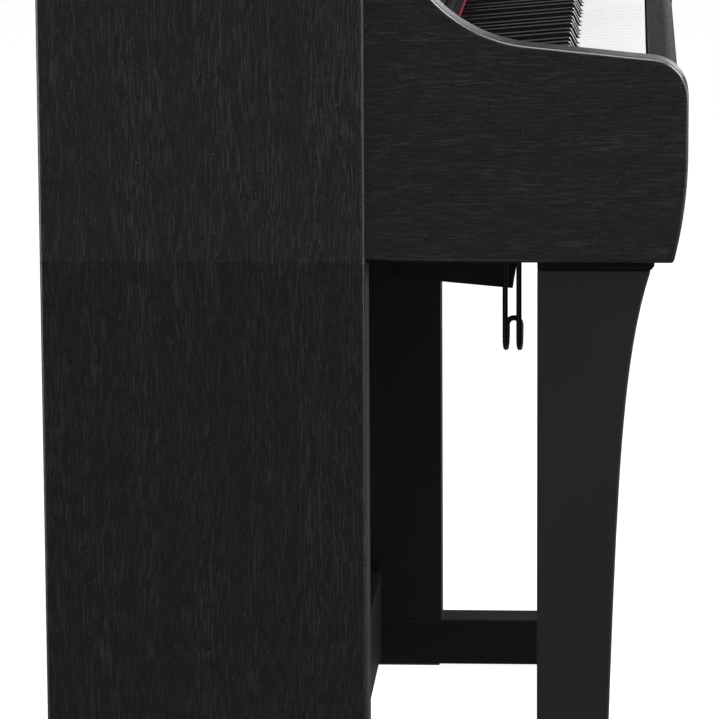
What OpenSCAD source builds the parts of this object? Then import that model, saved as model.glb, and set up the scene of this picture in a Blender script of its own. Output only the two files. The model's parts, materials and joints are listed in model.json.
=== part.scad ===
// Digital console piano on its stand: 88 keys, sliding key cover, folding music desk, three pedals.
// The player sits at -Y and looks along +Y. The bass end is at -X. The floor is z = 0. Millimetres.

/* [Body] */
// Overall width across the side panels
body_w = 1360; // [1350:10:1400]
// Overall depth, from the back edge of the sides to the front of the arms
body_d = 465; // [460:5:475]
// Height of the top board above the floor
body_h = 910; // [900:5:930]
// Height of the key bed's underside, where the stand ends and the keyboard unit begins
bed_z = 615; // [610:5:620]
// Depth of the side panels and side boards, from the back edge
panel_d = 232.5; // [228:0.5:236]

/* [Boards] */
// Thickness of the keyboard unit's side panels
panel_t = 36; // [34:1:38]
// How far the arms stand back from the side panels' outer faces
arm_inset = 3; // [2:0.5:6]
// Thickness of the stand's side boards
board_t = 48; // [40:1:50]
// Thickness of the key bed
bed_t = 18; // [16:1:20]
// Thickness of the top board
top_t = 18; // [16:1:20]
// Radius of the rounded vertical edges of the sides
edge_r = 3.5; // [3:0.5:8]

/* [Stand] */
// Height of the foot rails
rail_h = 46; // [40:1:50]
// Thickness of the felt glide pads
glide_h = 2; // [1:0.5:3]
// Width of each front leg, seen from the front
leg_w = 48; // [42:1:52]
// Y of the back face of each front leg
leg_back_y = -125; // [-130:0.5:-122]
// Thickness of the steel plate on top of each front leg
leg_plate_t = 6; // [5:0.5:9]
// Y of the front face of the pedal beam
beam_y = 59; // [55:1:65]
// Height of the pedal beam's lower edge above the floor
beam_z = 12.5; // [12:0.5:15]
// Height of the pedal beam
beam_h = 85; // [84:1:90]

/* [Keyboard] */
// Width of one white key with its gap
key_pitch = 23.5; // [23.4:0.05:23.6]
// Gap between neighbouring keys
key_gap = 1; // [0.8:0.1:1.2]
// Height of the white keys' front edge above the key bed's underside
key_rise = 126.5; // [125:0.5:128]
// Y of the white keys' front faces
key_front_y = -202.5; // [-204:0.5:-201]
// Slope of the white keys at rest, rising towards the player
key_tilt = 3; // [2.6:0.1:3]
// Y of the shaft that the keys turn on
key_pivot_y = 22; // [20:1:26]

/* [Key cover] */
// Slope of the key cover's track, which is also the slope of the arms' top edges
cover_slope = 6.06; // [5.9:0.02:6.2]
// Length of the key cover, front to back
cover_len = 185; // [180:1:190]

/* [Pedals] */
// Distance between neighbouring pedals
pedal_pitch = 80; // [70:1:90]
// Width of a pedal's shank
pedal_w = 22; // [20:1:24]

/* [Hidden] */
$fn = 64;
half_w = body_w / 2;
inner_x = half_w - panel_t;
board_x = half_w - board_t;
front_y = panel_d - body_d;
// Y of the sides' front faces, where the arms begin
side_front = -2;
rail_x = half_w - 1.5;
rail_z = glide_h;
board_z = rail_z + rail_h;
side_top = body_h - top_t;
bed_top = bed_z + bed_t;
key_z = bed_z + key_rise;
block_top = key_z + 2;
leg_x = half_w - 10;
belly_r = 325;

// Keys: an octave's outline. A sharp takes a slot of the same width out of its white neighbours.
white_count = 52;
keys_w = white_count * key_pitch;
white_t = 15;
white_lip = 20;
sharp_slot = 12.6;
sharp_base = 11;
sharp_top = 9.4;
sharp_h = 12;
sharp_h_back = 9.1;
sharp_front = 52;
key_len = 235;
felt_dist = 149;
felt_depth = 2;
key_pivot_z = key_z - 19.5;
key_bore = 3.05;
tail_cde = (3 * key_pitch - 2 * sharp_slot) / 3;
tail_fgab = (4 * key_pitch - 3 * sharp_slot) / 4;
// Where each white key's tail starts and ends, from the octave's left edge, C to B
tails = [
    [0, tail_cde],
    [tail_cde + sharp_slot, 2 * tail_cde + sharp_slot],
    [2 * (tail_cde + sharp_slot), 3 * key_pitch],
    [3 * key_pitch, 3 * key_pitch + tail_fgab],
    [3 * key_pitch + tail_fgab + sharp_slot, 3 * key_pitch + 2 * tail_fgab + sharp_slot],
    [3 * key_pitch + 2 * (tail_fgab + sharp_slot), 3 * key_pitch + 3 * tail_fgab + 2 * sharp_slot],
    [3 * key_pitch + 3 * (tail_fgab + sharp_slot), 7 * key_pitch],
];
// White steps that have a sharp after them
sharp_steps = [0, 1, 3, 4, 5];
lowest_step = 5;
middle_first = 23;
middle_last = 29;

// Key cover: its track line passes through (cover_y, cover_z), the cover's front edge when it is open
cover_y = -49;
cover_z = bed_z + 153.2;
cover_t = 8;
cover_travel = 169;
tongue_t = 5;
tongue_w = 4.5;
track_depth = 5.5;

// Pedals
pedal_t = 7;
pedal_y = 110;
pedal_z = 65;
shaft_r = 4;
shaft_bore = 4.05;
pedal_top_z = 79;

// Music desk
desk_y = 44;
desk_z = body_h + 7;
desk_angle = 70;
desk_w = 760;
desk_len = 188;
hinge_x = 300;
hinge_pin = 2;
hinge_bore = 2.05;

// Headphone hanger
hanger_x = -630;
hanger_y = -106;
hanger_turn = -2.5;
wire_r = 2;
wire_gap = 10;
hook_r = 11;
hook_z = bed_z - 60;

// ---------------------------------------------------------------- helpers

// A box between two corners.
module box(low, high) {
    translate(low) cube(high - low);
}

// Points on an arc from angle a0 to a1.
function arc(cx, cy, r, a0, a1, steps) =
    [for (i = [0:steps]) let (a = a0 + (a1 - a0) * i / steps) [cx + r * cos(a), cy + r * sin(a)]];

// Extrudes a (y, z) outline along X, from x0 to x1.
module along_x(x0, x1) {
    translate([x0, 0, 0]) rotate([90, 0, 90]) linear_extrude(x1 - x0) children();
}

// A cylinder along X, from x0 to x1, about (y, z).
module rod_x(x0, x1, y, z, r) {
    translate([x0, y, z]) rotate([0, 90, 0]) cylinder(r = r, h = x1 - x0);
}

// Children as drawn for the bass end, or mirrored for the treble end.
module at_end(end) {
    if (end < 0) children();
    else mirror([1, 0, 0]) children();
}

// ---------------------------------------------------------------- stand

// Plan of a side, bass end: the outer front edge is rounded.
module side_plan(thickness) {
    round_y = side_front + edge_r;
    translate([-half_w, round_y]) square([thickness, panel_d - round_y]);
    translate([-half_w + edge_r, side_front]) square([thickness - edge_r, edge_r]);
    translate([-half_w + edge_r, round_y]) circle(edge_r);
}

module side_board(end) {
    color([0.12, 0.12, 0.12])
    at_end(end) translate([0, 0, board_z]) linear_extrude(bed_z - board_z) side_plan(board_t);
}

module foot_rail(end) {
    color([0.09, 0.085, 0.09])
    at_end(end) box([-rail_x, leg_back_y, rail_z], [-rail_x + board_t, panel_d - 1, board_z]);
}

// The leg's front edge sweeps forward towards the top.
function leg_front(z) = -(169 + 0.03 * z + 21 * exp((z - bed_z) / 66));

module front_leg(end) {
    top = bed_z - leg_plate_t;
    levels = [for (i = [0:24]) rail_z + (top - rail_z) * sqrt(i / 24)];
    color([0.15, 0.145, 0.15])
    at_end(end) along_x(-leg_x, -leg_x + leg_w)
        polygon(concat(
            [[leg_back_y, top], [leg_back_y, rail_z]],
            [for (z = levels) [leg_front(z), z]]
        ));
}

module leg_plates() {
    low = bed_z - leg_plate_t;
    color([0.05, 0.05, 0.05])
    for (end = [-1, 1]) at_end(end) along_x(-leg_x, -leg_x + leg_w)
        polygon([
            [leg_back_y, low], [leg_back_y, bed_z], [leg_front(bed_z) - 0.5, bed_z],
            [leg_front(bed_z) - 0.5, bed_z - 3], [leg_front(low), low],
        ]);
}

module glides() {
    pad_x = -rail_x + 3;
    color([0.2, 0.2, 0.2])
    for (end = [-1, 1]) at_end(end) {
        box([pad_x, 0, 0], [pad_x + board_t - 6, panel_d - 4, glide_h]);
        box([-leg_x + 4, leg_front(0) + 5, 0], [-leg_x + leg_w - 4, leg_back_y - 5, glide_h]);
    }
}

module back_board() {
    color([0.12, 0.12, 0.12])
    box([-board_x, panel_d - 27, 230], [board_x, panel_d - 12, bed_z]);
}

module pedal_beam() {
    half = rail_x - board_t - 0.5;
    board = 18;
    top = beam_z + beam_h;
    deep = 91;
    block_w = 60;
    color([0.12, 0.12, 0.12])
    difference() {
        union() {
            box([-half, beam_y, beam_z], [half, beam_y + board, top]);
            box([-half, beam_y, top - 15], [half, beam_y + deep, top]);
            for (x = [-half, half - board]) box([x, beam_y, beam_z], [x + board, beam_y + deep, top]);
            box([-block_w, beam_y, beam_z], [block_w, beam_y + 75, beam_z + 12]);
        }
        for (i = [-1:1]) translate([i * pedal_pitch, 0, 0])
            box([-pedal_w / 2 - 2, beam_y - 1, 49], [pedal_w / 2 + 2, beam_y + board + 1, 74]);
        translate([0, pedal_y, beam_z - 1]) cylinder(r = 5.1, h = 14);
    }
}

// Hangs under the beam's top board and carries the pedal shaft between pairs of ears.
module pedal_chassis() {
    reach = pedal_pitch + pedal_w;
    ear = 3;
    color([0.55, 0.55, 0.57])
    difference() {
        union() {
            box([-reach, 90, pedal_top_z], [reach, 146, pedal_top_z + 3]);
            for (i = [-1:1], side = [-1, 1])
                let (x = i * pedal_pitch + side * (pedal_w / 2 + 1 + ear / 2))
                box([x - ear / 2, 98, 50], [x + ear / 2, 122, pedal_top_z]);
        }
        rod_x(-reach - 1, reach + 1, pedal_y, 58, shaft_bore);
    }
}

module pedal_shaft() {
    reach = pedal_pitch + 18;
    color([0.7, 0.7, 0.72]) rod_x(-reach, reach, pedal_y, 58, shaft_r);
}

// A flat lever with a round toe in front of the beam and a boss on the shaft.
module pedal(i) {
    toe_y = -14;
    toe_r = 16;
    color([0.78, 0.62, 0.32])
    translate([i * pedal_pitch, 0, 0])
    difference() {
        union() {
            translate([0, 0, pedal_z - pedal_t / 2]) linear_extrude(pedal_t) {
                translate([-pedal_w / 2, toe_y]) square([pedal_w, 136 - toe_y]);
                translate([0, toe_y]) circle(toe_r);
                polygon([
                    [-toe_r, toe_y], [toe_r, toe_y], [pedal_w / 2, toe_y + 45], [-pedal_w / 2, toe_y + 45],
                ]);
            }
            rod_x(-pedal_w / 2, pedal_w / 2, pedal_y, 58, 8);
        }
        rod_x(-pedal_w, pedal_w, pedal_y, 58, shaft_bore);
    }
}

// A coil between the pedal's rear arm and the chassis.
module coil(r, wire, height, turns) {
    sides = 6;
    steps = turns * 14;
    ring = [for (k = [0:steps]) let (a = 360 * turns * k / steps, z = wire + (height - 2 * wire) * k / steps)
        for (j = [0:sides - 1]) let (b = 360 * j / sides, d = r + wire * cos(b))
            [d * cos(a), d * sin(a), z + wire * sin(b)]];
    sheets = [for (k = [0:steps - 1], j = [0:sides - 1])
        let (p = k * sides + j, q = k * sides + (j + 1) % sides)
            [p, p + sides, q + sides, q]];
    caps = [[for (j = [0:sides - 1]) j], [for (j = [sides - 1:-1:0]) steps * sides + j]];
    polyhedron(ring, concat(sheets, caps));
}

module pedal_springs() {
    low = pedal_z + pedal_t / 2 + 0.2;
    color([0.6, 0.6, 0.62])
    for (i = [-1:1]) translate([i * pedal_pitch, 128, low]) coil(6, 0.8, pedal_top_z - low - 0.2, 3.5);
}

module beam_adjuster() {
    color([0.1, 0.1, 0.1])
    translate([0, pedal_y, 0.5]) {
        cylinder(r = 17, h = 6);
        translate([0, 0, 6]) cylinder(r = 5, h = 25);
    }
}

// ---------------------------------------------------------------- keyboard unit

// Runs children in the key cover's own frame: y along the track towards the back, z square to it.
module on_track() {
    translate([0, cover_y, cover_z]) rotate([cover_slope, 0, 0]) children();
}

// The groove that a tongue of the key cover runs in, bass end.
module track_groove() {
    on_track() box(
        [-inner_x - track_depth, -cover_travel - 2, -tongue_t / 2 - 0.5],
        [-inner_x + 1, cover_len + 4, tongue_t / 2 + 0.5]);
}

module upper_side(end) {
    color([0.137, 0.137, 0.137])
    at_end(end) difference() {
        translate([0, 0, bed_z]) linear_extrude(side_top - bed_z) side_plan(panel_t);
        track_groove();
    }
}

// Side view of an arm. The top edge slopes at the track's angle, sweeps up in a hollow curve to the
// side panel and rolls over at the front; below, the front draws back to the key bed.
module arm_outline() {
    nose_r = 27;
    sweep_r = 106;
    hollow_y = panel_d - 361;
    hollow_z = bed_z + 261;
    belly_z = bed_z + 80;
    slope_z = bed_z + 146.4;
    nose_y = front_y + nose_r;
    nose_z = slope_z - nose_r;
    steep = 62;
    corner_r = 3;
    belly_end = asin((belly_z - bed_z - corner_r) / (belly_r - corner_r));
    corner_y = front_y + belly_r - (belly_r - corner_r) * cos(belly_end);
    polygon(concat(
        [[side_front, bed_z], [side_front, side_top]],
        arc(hollow_y, hollow_z, sweep_r, -90 + steep, -90 + cover_slope, 20),
        arc(nose_y, nose_z, nose_r, 90 + cover_slope, 180, 12),
        arc(front_y + belly_r, belly_z, belly_r, 180, 180 + belly_end, 10),
        arc(corner_y, bed_z + corner_r, corner_r, 180 + belly_end, 270, 4)
    ));
}

module arm(end) {
    color([0.133, 0.127, 0.129])
    at_end(end) difference() {
        along_x(-half_w + arm_inset, -inner_x) arm_outline();
        track_groove();
    }
}

module keybed() {
    color([0.16, 0.16, 0.16])
    difference() {
        box([-inner_x, key_front_y - 3.5, bed_z], [inner_x, panel_d - 6, bed_top]);
        for (x = [-330, 330]) translate([x, 130, bed_z - 1]) cylinder(r = 56, h = bed_t + 2);
    }
}

module rear_cover() {
    y = panel_d - 6;
    color([0.15, 0.15, 0.15])
    difference() {
        box([-inner_x, y, bed_z], [inner_x, y + 4, side_top]);
        box([-560, y - 1, bed_z - 1], [-430, y + 5, bed_z + 85]);
        for (x = [-300:20:300]) box([x - 4, y - 1, bed_z + 190], [x + 4, y + 5, bed_z + 230]);
    }
}

module rear_sockets() {
    y = panel_d - 6;
    color([0.08, 0.08, 0.08])
    difference() {
        union() {
            box([-566, y - 3, bed_top], [-424, y, bed_z + 90]);
            box([-556, y - 40, bed_z + 48], [-516, y - 3, bed_z + 82]);
            box([-500, y - 24, bed_z + 48], [-434, y - 3, bed_z + 82]);
        }
        box([-549, y - 26, bed_z + 57], [-523, y + 1, bed_z + 73]);
        translate([-486, y + 1, bed_z + 65]) rotate([90, 0, 0]) cylinder(r = 6.5, h = 20);
        box([-466, y - 18, bed_z + 59], [-453, y + 1, bed_z + 71]);
        translate([-442, y + 1, bed_z + 65]) rotate([90, 0, 0]) cylinder(r = 3.25, h = 20);
    }
}

module rear_screws() {
    y = panel_d - 2;
    color([0.35, 0.35, 0.36])
    for (x = [-620:155:620], z = [bed_z + 9, side_top - 10])
        translate([x, y, z]) rotate([-90, 0, 0]) difference() {
            cylinder(r1 = 4, r2 = 3, h = 1.8);
            translate([0, 0, 0.8]) {
                box([-2.4, -0.45, 0], [2.4, 0.45, 2]);
                box([-0.45, -2.4, 0], [0.45, 2.4, 2]);
            }
        }
}

module top_board() {
    nose = top_t / 2;
    color([0.14, 0.14, 0.14])
    along_x(-half_w, half_w) union() {
        translate([-4 + nose, side_top]) square([panel_d + 4 - nose, top_t]);
        translate([-4 + nose, side_top + nose]) circle(nose);
    }
}

// The panel between the key cover's slot and the top board.
module fascia() {
    low = cover_z + 7.5;
    color([0.1, 0.1, 0.1])
    along_x(-inner_x, inner_x)
        polygon([[-50, low], [6, side_top], [19, side_top], [-37, low]]);
}

module key_slip() {
    front = front_y + 6;
    back = key_front_y - 2;
    top = key_z - 2.5;
    nose = 9.5;
    color([0.14, 0.135, 0.137])
    along_x(-inner_x, inner_x) union() {
        polygon(concat(
            [[back, top], [back, top - 16], [back - 2, top - 20], [back - 2, bed_z + 1]],
            [[front + 10, bed_z + 1]],
            arc(front + belly_r, bed_z + 80, belly_r, 180 + asin(76 / belly_r), 180, 8),
            arc(front + nose, top - nose, nose, 180, 90, 8)
        ));
    }
}

// A cheek block fills the space between the end key and the arm.
module key_block_body(end) {
    at_end(end) box([-inner_x, key_front_y - 2, bed_top], [-keys_w / 2 - 3.5, -40, block_top]);
}

module key_block_left() {
    color([0.1, 0.1, 0.1])
    difference() {
        key_block_body(-1);
        box([-inner_x + 4, -185, block_top - 1], [-keys_w / 2 - 7, -95, block_top + 1]);
    }
}

module key_block_right() {
    x = inner_x - 15;
    color([0.1, 0.1, 0.1])
    difference() {
        key_block_body(1);
        box([x - 1.7, -158, block_top - 8], [x + 1.7, -92, block_top + 1]);
        translate([x, -180, block_top - 8]) cylinder(r = 6, h = 9);
    }
}

module display_window() {
    color([0.02, 0.02, 0.03])
    box([-inner_x + 4.3, -184.7, block_top - 1], [-keys_w / 2 - 7.3, -95.3, block_top + 0.2]);
}

module power_button() {
    color([0.15, 0.15, 0.15])
    translate([inner_x - 15, -180, block_top - 5]) cylinder(r = 5.6, h = 6.5);
}

module volume_knob() {
    x = inner_x - 15;
    color([0.2, 0.2, 0.2]) {
        box([x - 1.3, -130, block_top - 6], [x + 1.3, -120, block_top + 0.5]);
        box([x - 5, -131.5, block_top + 0.5], [x + 5, -118.5, block_top + 5]);
    }
}

module felt_strip() {
    y = key_front_y + felt_dist;
    color([0.7, 0.05, 0.18])
    box([-keys_w / 2, y, key_z + 3.2], [keys_w / 2, y + felt_depth, key_z + 6]);
}

// Steel chassis: base, front guide rail, pivot shaft between two end plates, and the stop rail
// that carries the felt.
module key_frame() {
    x = keys_w / 2 + 0.5;
    plate = 2;
    felt_y = key_front_y + felt_dist + felt_depth;
    color([0.05, 0.05, 0.05]) {
        box([-x - plate, -190, bed_top], [x + plate, 60, bed_top + 3]);
        box([-x, -180, bed_top], [x, -160, bed_top + 50]);
        box([-x, key_pivot_y - 12, bed_top], [x, key_pivot_y + 12, key_pivot_z - 14]);
        for (side = [-1, 1]) translate([side * (x + plate / 2), 0, 0]) {
            box([-plate / 2, -190, bed_top], [plate / 2, 60, bed_top + 30]);
            box([-plate / 2, key_pivot_y - 12, bed_top], [plate / 2, key_pivot_y + 12, key_pivot_z + 8]);
            box([-plate / 2, felt_y, bed_top], [plate / 2, felt_y + 12, key_z + 17]);
        }
        box([-x, felt_y, key_z + 3.5], [x, felt_y + 12, key_z + 17]);
        rod_x(-x - plate, x + plate, key_pivot_y, key_pivot_z, 3);
    }
}

// One weighted lever under each key, at rest on its rail.
module hammers() {
    count = 88;
    step = keys_w / count;
    color([0.3, 0.3, 0.32]) {
        for (i = [0:count - 1]) let (x = -keys_w / 2 + (i + 0.5) * step) {
            box([x - 3, -135, bed_top + 56], [x + 3, -20, bed_top + 64]);
            rod_x(x - 5, x + 5, -20, bed_top + 60, 11);
        }
    }
}

module key_cover() {
    half = inner_x - 1;
    color([0.12, 0.12, 0.12])
    on_track() union() {
        box([-half, 0, -cover_t / 2], [half, cover_len, cover_t / 2]);
        box([-half - tongue_w, 0, -tongue_t / 2], [half + tongue_w, cover_len, tongue_t / 2]);
        rod_x(-half, half, 0, 0, 5.5);
    }
}

// ---------------------------------------------------------------- music desk

// Runs children in the desk's own frame: y along the panel away from the hinge, z out of its face.
module on_desk() {
    translate([0, desk_y, desk_z]) rotate([desk_angle, 0, 0]) children();
}

module music_desk() {
    knuckle = 14;
    corner = 22;
    color([0.12, 0.12, 0.12])
    on_desk() difference() {
        union() {
            translate([0, 0, -4.5]) linear_extrude(12) {
                translate([-desk_w / 2, 0]) square([desk_w, desk_len - corner]);
                translate([-desk_w / 2 + corner, 0]) square([desk_w - 2 * corner, desk_len]);
                for (side = [-1, 1]) translate([side * (desk_w / 2 - corner), desk_len - corner]) circle(corner);
            }
            box([-desk_w / 2, 0, -4.5], [desk_w / 2, 9, 28]);
        }
        for (side = [-1, 1]) translate([side * hinge_x, 0, 0])
            for (x = [-22, 8]) box([x, -6, -6], [x + 14, 10, 30]);
        for (side = [-1, 1]) translate([side * hinge_x, 0, 0]) {
            rod_x(-24, 24, 0, 0, hinge_bore);
            box([-knuckle, -6, 5], [knuckle, 10, 30]);
        }
    }
}

// Fixed knuckles and pins on the top board.
module desk_hinges() {
    color([0.6, 0.6, 0.62])
    for (side = [-1, 1]) translate([side * hinge_x, 0, 0]) {
        for (x = [-20.5, 9.5]) {
            rod_x(x, x + 11, desk_y, desk_z, 4);
            box([x, desk_y - 4, body_h], [x + 11, desk_y + 4, desk_z]);
        }
        rod_x(-20.5, 20.5, desk_y, desk_z, hinge_pin);
    }
}

// ---------------------------------------------------------------- inside and under the key bed

// The main board and the amplifier on posts, and the mains supply in its case.
module circuit_boards() {
    sheet_t = 2;
    sheet_z = bed_top + 6;
    front = 120;
    post = 8;
    color([0.05, 0.3, 0.15]) {
        for (board = [[-230, 170], [-30, 80]]) translate([board[0], front, 0]) {
            box([0, 0, sheet_z], [board[1], 85, sheet_z + sheet_t]);
            for (x = [post, board[1] - 2 * post])
                box([x, post, bed_top], [x + post, 2 * post, sheet_z]);
            box([15, 20, sheet_z + sheet_t], [65, 70, sheet_z + 6]);
        }
        box([185, front, bed_top + 0.5], [262, 200, bed_top + 42]);
    }
}

// A moving-coil driver: flange, basket with its cone hollow, and magnet.
module woofers() {
    color([0.1, 0.1, 0.1])
    for (x = [-330, 330]) translate([x, 130, bed_top]) rotate_extrude() polygon([
        [0, 22], [20, 16], [50, 0], [64, 0], [64, 3], [54, 3], [34, 34], [34, 52], [0, 52],
    ]);
}

module speaker_grilles() {
    color([0.07, 0.07, 0.07])
    for (x = [-330, 330]) translate([x, 130, bed_z]) rotate_extrude() polygon([
        [0, -3.2], [62, -3.2], [66, 0], [60, 0], [58, -2], [0, -2],
    ]);
}

module jack_box() {
    x0 = -590;
    x1 = -490;
    color([0.05, 0.05, 0.05])
    difference() {
        along_x(x0, x1) polygon([
            [-15, bed_z], [-110.5, bed_z], [-105.5, bed_z - 32], [-17.5, bed_z - 24],
        ]);
        for (x = [-568, -532]) translate([x, -113, bed_z - 15]) rotate([-90, 0, 0]) {
            cylinder(r = 7, h = 16);
            cylinder(r = 3.25, h = 48);
        }
    }
}

// Two wires run down from a plate, turn up again and join in an arch, so that a headband hangs
// in the hook.
module headphone_hanger() {
    arch_z = hook_z + 4;
    color([0.06, 0.06, 0.06])
    translate([hanger_x, hanger_y, 0]) rotate([0, 0, hanger_turn]) {
        difference() {
            box([-9, -16, bed_z - 3], [9, 16, bed_z]);
            for (y = [-11.5, 11.5]) translate([4, y, bed_z - 4]) cylinder(r = 2, h = 5);
        }
        for (y = [-wire_gap / 2, wire_gap / 2]) translate([0, y, 0]) {
            translate([0, 0, hook_z]) cylinder(r = wire_r, h = bed_z - hook_z - 1);
            translate([hook_r, 0, hook_z]) rotate([90, 0, 0]) rotate([0, 0, 180])
                rotate_extrude(angle = 180) translate([hook_r, 0]) circle(wire_r, $fn = 32);
            translate([2 * hook_r, 0, hook_z]) cylinder(r = wire_r, h = arch_z - hook_z);
        }
        translate([2 * hook_r, 0, arch_z]) rotate([90, 0, 90])
            rotate_extrude(angle = 180) translate([wire_gap / 2, 0]) circle(wire_r, $fn = 32);
    }
}

// ---------------------------------------------------------------- keys

// White key n (0 is the lowest): its step in the octave and its octave's left edge.
function step_of(n) = (n + lowest_step) % 7;
function octave_x(n) = -keys_w / 2 + (floor((n + lowest_step) / 7) * 7 - lowest_step) * key_pitch;

// Runs children in the keyboard's own frame: y towards the back along the white keys' tops.
module on_keys() {
    translate([0, key_front_y, key_z]) rotate([-key_tilt, 0, 0]) children();
}

module pivot_hole() {
    rod_x(-half_w, half_w, key_pivot_y, key_pivot_z, key_bore);
}

module white_key(n) {
    step = step_of(n);
    x0 = octave_x(n);
    left = x0 + step * key_pitch + key_gap / 2;
    right = x0 + (step + 1) * key_pitch - key_gap / 2;
    tail_left = n == 0 ? left : max(left, x0 + tails[step][0]);
    tail_right = n == white_count - 1 ? right : min(right, x0 + tails[step][1]);
    notch = sharp_front - 1;
    difference() {
        on_keys() {
            translate([0, 0, -white_t]) linear_extrude(white_t) polygon([
                [left, 0], [right, 0], [right, notch], [tail_right, notch],
                [tail_right, key_len], [tail_left, key_len], [tail_left, notch], [left, notch],
            ]);
            box([left, 0, -white_lip], [right, 4, 0]);
        }
        pivot_hole();
    }
}

// The sharp that stands between white keys n and n + 1.
module black_key(n) {
    step = step_of(n);
    x = octave_x(n) + (tails[step][1] + tails[step + 1][0]) / 2;
    length = felt_dist + 4;
    difference() {
        on_keys() translate([x, 0, 0]) {
            intersection() {
                along_x(-sharp_base / 2, sharp_base / 2) polygon([
                    [sharp_front, 0], [sharp_front + 5, sharp_h - 1], [sharp_front + 7, sharp_h],
                    [length, sharp_h_back], [length, 0],
                ]);
                translate([0, length + 1, 0]) rotate([90, 0, 0]) linear_extrude(length) polygon([
                    [-sharp_base / 2, -1], [sharp_base / 2, -1],
                    [sharp_top / 2, sharp_h + 1], [-sharp_top / 2, sharp_h + 1],
                ]);
            }
            box([-sharp_base / 2, sharp_front, -white_t], [sharp_base / 2, key_len, 0]);
        }
        pivot_hole();
    }
}

module white_keys(first, last) {
    color([0.95, 0.94, 0.94]) for (n = [first:last]) white_key(n);
}

module black_keys(first, last) {
    color([0.06, 0.06, 0.06]) for (n = [first:last]) if (len(search(step_of(n), sharp_steps)) > 0) black_key(n);
}

side_board(-1);  // side_board_left
side_board(1);  // side_board_right
foot_rail(-1);  // foot_rail_left
foot_rail(1);  // foot_rail_right
front_leg(-1);  // front_leg_left
front_leg(1);  // front_leg_right
leg_plates();
back_board();
pedal_beam();
pedal_chassis();
pedal_shaft();
pedal(-1);  // soft_pedal
pedal(0);  // sostenuto_pedal
pedal(1);  // damper_pedal
pedal_springs();
beam_adjuster();
glides();
rear_screws();
keybed();
upper_side(-1);  // upper_side_left
upper_side(1);  // upper_side_right
arm(-1);  // arm_left
arm(1);  // arm_right
rear_cover();
top_board();
fascia();
key_slip();
key_block_left();
key_block_right();
felt_strip();
key_frame();
hammers();
key_cover();
music_desk();
desk_hinges();
display_window();
power_button();
volume_knob();
circuit_boards();
woofers();
speaker_grilles();
jack_box();
headphone_hanger();
rear_sockets();
white_keys(0, middle_first - 1);  // white_keys_bass
white_keys(middle_last + 1, white_count - 1);  // white_keys_treble
black_keys(0, middle_first - 1);  // black_keys_bass
black_keys(middle_last + 1, white_count - 2);  // black_keys_treble
white_keys(middle_first, middle_first);  // key_c4
black_keys(middle_first, middle_first);  // key_c_sharp_4
white_keys(middle_first + 1, middle_first + 1);  // key_d4
black_keys(middle_first + 1, middle_first + 1);  // key_d_sharp_4
white_keys(middle_first + 2, middle_first + 2);  // key_e4
white_keys(middle_first + 3, middle_first + 3);  // key_f4
black_keys(middle_first + 3, middle_first + 3);  // key_f_sharp_4
white_keys(middle_first + 4, middle_first + 4);  // key_g4
black_keys(middle_first + 4, middle_first + 4);  // key_g_sharp_4
white_keys(middle_first + 5, middle_first + 5);  // key_a4
black_keys(middle_first + 5, middle_first + 5);  // key_a_sharp_4
white_keys(middle_last, middle_last);  // key_b4
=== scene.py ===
import json
import math
import random

import bmesh
import bpy
from mathutils import Matrix, Vector


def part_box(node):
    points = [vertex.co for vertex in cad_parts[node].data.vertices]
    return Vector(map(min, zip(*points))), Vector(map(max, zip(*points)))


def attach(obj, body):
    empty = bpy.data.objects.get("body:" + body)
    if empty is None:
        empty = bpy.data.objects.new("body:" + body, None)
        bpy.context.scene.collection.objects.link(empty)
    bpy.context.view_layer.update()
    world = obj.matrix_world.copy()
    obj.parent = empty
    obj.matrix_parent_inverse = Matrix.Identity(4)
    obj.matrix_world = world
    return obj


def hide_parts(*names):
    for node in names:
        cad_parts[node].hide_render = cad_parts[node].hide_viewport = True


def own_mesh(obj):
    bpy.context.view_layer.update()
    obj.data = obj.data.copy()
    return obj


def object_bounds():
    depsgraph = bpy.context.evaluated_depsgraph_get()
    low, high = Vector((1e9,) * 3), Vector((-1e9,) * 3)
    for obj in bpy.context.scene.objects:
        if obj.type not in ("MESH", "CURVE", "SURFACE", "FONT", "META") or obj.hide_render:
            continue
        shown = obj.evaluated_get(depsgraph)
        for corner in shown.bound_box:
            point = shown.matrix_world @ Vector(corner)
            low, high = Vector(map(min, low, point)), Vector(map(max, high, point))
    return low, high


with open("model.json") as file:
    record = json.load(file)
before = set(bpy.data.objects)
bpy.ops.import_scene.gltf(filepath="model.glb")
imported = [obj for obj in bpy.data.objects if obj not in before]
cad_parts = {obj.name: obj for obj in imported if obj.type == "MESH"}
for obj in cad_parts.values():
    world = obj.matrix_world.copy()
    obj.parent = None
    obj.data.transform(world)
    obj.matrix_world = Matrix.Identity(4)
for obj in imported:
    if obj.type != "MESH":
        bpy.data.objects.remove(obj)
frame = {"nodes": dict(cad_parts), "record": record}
cad_low, cad_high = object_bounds()
nodes = frame["nodes"]
scene = bpy.context.scene
scene.view_settings.view_transform = "Standard"
MM = 0.001
random.seed(7)

# ---------------------------------------------------------------- material helpers


def linear(level):
    """The linear value of an sRGB level from 0 to 255."""
    c = level / 255
    return c / 12.92 if c <= 0.04045 else ((c + 0.055) / 1.055) ** 2.4


def rgb(r, g, b):
    """A colour socket's value, from sRGB levels."""
    return (linear(r), linear(g), linear(b), 1)


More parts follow.
